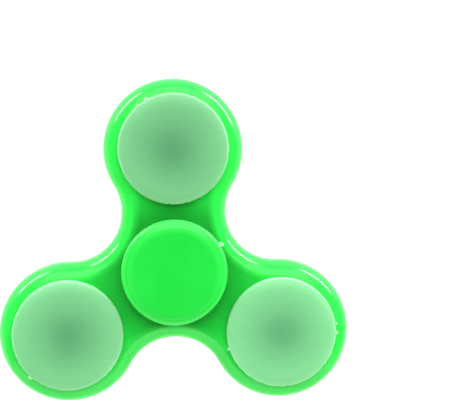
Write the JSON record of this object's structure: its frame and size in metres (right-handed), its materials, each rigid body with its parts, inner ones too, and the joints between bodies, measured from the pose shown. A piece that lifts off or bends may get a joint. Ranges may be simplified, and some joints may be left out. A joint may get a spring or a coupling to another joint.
{
  "type": "fidget spinner",
  "caption": "Three-lobed finger spinner in glossy green plastic with round finger pads on a ball bearing and a frosted press-to-light cap in each lobe.",
  "frame": {"origin": "on the spin axis at the centre of the bottom finger pad's flat outer face, so the spinner stands on z = 0", "axes": "+Z along the spin axis, from the bottom finger pad to the top one, which is the side with the light caps; +Y towards the first lobe"},
  "size_m": [0.075, 0.0689, 0.0156],
  "materials": {
    "glow_plastic": "polished phosphorescent green plastic, mirror gloss with faint flow marks",
    "frosted_plastic": "frosted milky green diffuser plastic, satin",
    "module_plastic": "milky pale green moulded plastic",
    "bearing_steel": "ground bearing steel",
    "shield_steel": "pressed steel shield",
    "cage_nylon": "natural nylon",
    "circuit_board": "white solder mask on fibreglass",
    "switch_black": "black moulded plastic",
    "led_white": "white LED body with clear lens",
    "cell_steel": "nickel-plated can",
    "contact_nickel": "nickel-plated spring strip",
    "screw_steel": "zinc-plated screw"
  },
  "bodies": {
    "axle": {"finger_pad_top": "glow_plastic", "finger_pad_bottom": "glow_plastic", "bearing_inner_ring": "bearing_steel"},
    "spinner": {"spinner_frame": "glow_plastic", "bearing_outer_ring": "bearing_steel", "bearing_shield_top": "shield_steel", "bearing_shield_bottom": "shield_steel", "module_housing_1": "module_plastic", "circuit_board_1": "circuit_board", "switch_body_1": "switch_black", "led_1a": "led_white", "led_1b": "led_white", "led_1c": "led_white", "button_cell_1a": "cell_steel", "button_cell_1b": "cell_steel", "button_cell_1c": "cell_steel", "bridge_contact_1": "contact_nickel", "return_contact_1": "contact_nickel", "battery_door_1": "module_plastic", "door_screw_1": "screw_steel", "module_housing_2": "module_plastic", "circuit_board_2": "circuit_board", "switch_body_2": "switch_black", "led_2a": "led_white", "led_2b": "led_white", "led_2c": "led_white", "button_cell_2a": "cell_steel", "button_cell_2b": "cell_steel", "button_cell_2c": "cell_steel", "bridge_contact_2": "contact_nickel", "return_contact_2": "contact_nickel", "battery_door_2": "module_plastic", "door_screw_2": "screw_steel", "module_housing_3": "module_plastic", "circuit_board_3": "circuit_board", "switch_body_3": "switch_black", "led_3a": "led_white", "led_3b": "led_white", "led_3c": "led_white", "button_cell_3a": "cell_steel", "button_cell_3b": "cell_steel", "button_cell_3c": "cell_steel", "bridge_contact_3": "contact_nickel", "return_contact_3": "contact_nickel", "battery_door_3": "module_plastic", "door_screw_3": "screw_steel"},
    "cage": {"bearing_cage": "cage_nylon"},
    "ball_1": {"bearing_ball_1": "bearing_steel"},
    "ball_2": {"bearing_ball_2": "bearing_steel"},
    "ball_3": {"bearing_ball_3": "bearing_steel"},
    "ball_4": {"bearing_ball_4": "bearing_steel"},
    "ball_5": {"bearing_ball_5": "bearing_steel"},
    "ball_6": {"bearing_ball_6": "bearing_steel"},
    "ball_7": {"bearing_ball_7": "bearing_steel"},
    "light_button_1": {"light_cap_1": "frosted_plastic", "switch_plunger_1": "switch_black"},
    "light_button_2": {"light_cap_2": "frosted_plastic", "switch_plunger_2": "switch_black"},
    "light_button_3": {"light_cap_3": "frosted_plastic", "switch_plunger_3": "switch_black"}
  },
  "joints": [
    {"name": "spinner_spin", "type": "hinge", "parent": "axle", "child": "spinner", "pos_m": [0, 0, 0.0078], "axis": [0, 0, 1], "continuous": true},
    {"name": "cage_turn", "type": "hinge", "parent": "axle", "child": "cage", "pos_m": [0, 0, 0.0078], "axis": [0, 0, 1], "continuous": true},
    {"name": "ball_1_roll", "type": "hinge", "parent": "cage", "child": "ball_1", "pos_m": [0.0075, 0, 0.0078], "axis": [0, 0, 1], "continuous": true},
    {"name": "ball_2_roll", "type": "hinge", "parent": "cage", "child": "ball_2", "pos_m": [0.00468, 0.00586, 0.0078], "axis": [0, 0, 1], "continuous": true},
    {"name": "ball_3_roll", "type": "hinge", "parent": "cage", "child": "ball_3", "pos_m": [-0.00167, 0.00731, 0.0078], "axis": [0, 0, 1], "continuous": true},
    {"name": "ball_4_roll", "type": "hinge", "parent": "cage", "child": "ball_4", "pos_m": [-0.00676, 0.00325, 0.0078], "axis": [0, 0, 1], "continuous": true},
    {"name": "ball_5_roll", "type": "hinge", "parent": "cage", "child": "ball_5", "pos_m": [-0.00676, -0.00325, 0.0078], "axis": [0, 0, 1], "continuous": true},
    {"name": "ball_6_roll", "type": "hinge", "parent": "cage", "child": "ball_6", "pos_m": [-0.00167, -0.00731, 0.0078], "axis": [0, 0, 1], "continuous": true},
    {"name": "ball_7_roll", "type": "hinge", "parent": "cage", "child": "ball_7", "pos_m": [0.00468, -0.00586, 0.0078], "axis": [0, 0, 1], "continuous": true},
    {"name": "light_button_1_press", "type": "slide", "parent": "spinner", "child": "light_button_1", "axis": [0, 0, 1], "range_m": [-0.0005, 0], "stiffness_N_per_m": 3000},
    {"name": "light_button_2_press", "type": "slide", "parent": "spinner", "child": "light_button_2", "axis": [0, 0, 1], "range_m": [-0.0005, 0], "stiffness_N_per_m": 3000},
    {"name": "light_button_3_press", "type": "slide", "parent": "spinner", "child": "light_button_3", "axis": [0, 0, 1], "range_m": [-0.0005, 0], "stiffness_N_per_m": 3000}
  ],
  "couplings": [
    {"joint": "cage_turn", "follows": "spinner_spin", "ratio": 0.63},
    {"joint": "ball_1_roll", "follows": "spinner_spin", "ratio": 1.7931},
    {"joint": "ball_2_roll", "follows": "spinner_spin", "ratio": 1.7931},
    {"joint": "ball_3_roll", "follows": "spinner_spin", "ratio": 1.7931},
    {"joint": "ball_4_roll", "follows": "spinner_spin", "ratio": 1.7931},
    {"joint": "ball_5_roll", "follows": "spinner_spin", "ratio": 1.7931},
    {"joint": "ball_6_roll", "follows": "spinner_spin", "ratio": 1.7931},
    {"joint": "ball_7_roll", "follows": "spinner_spin", "ratio": 1.7931}
  ]
}
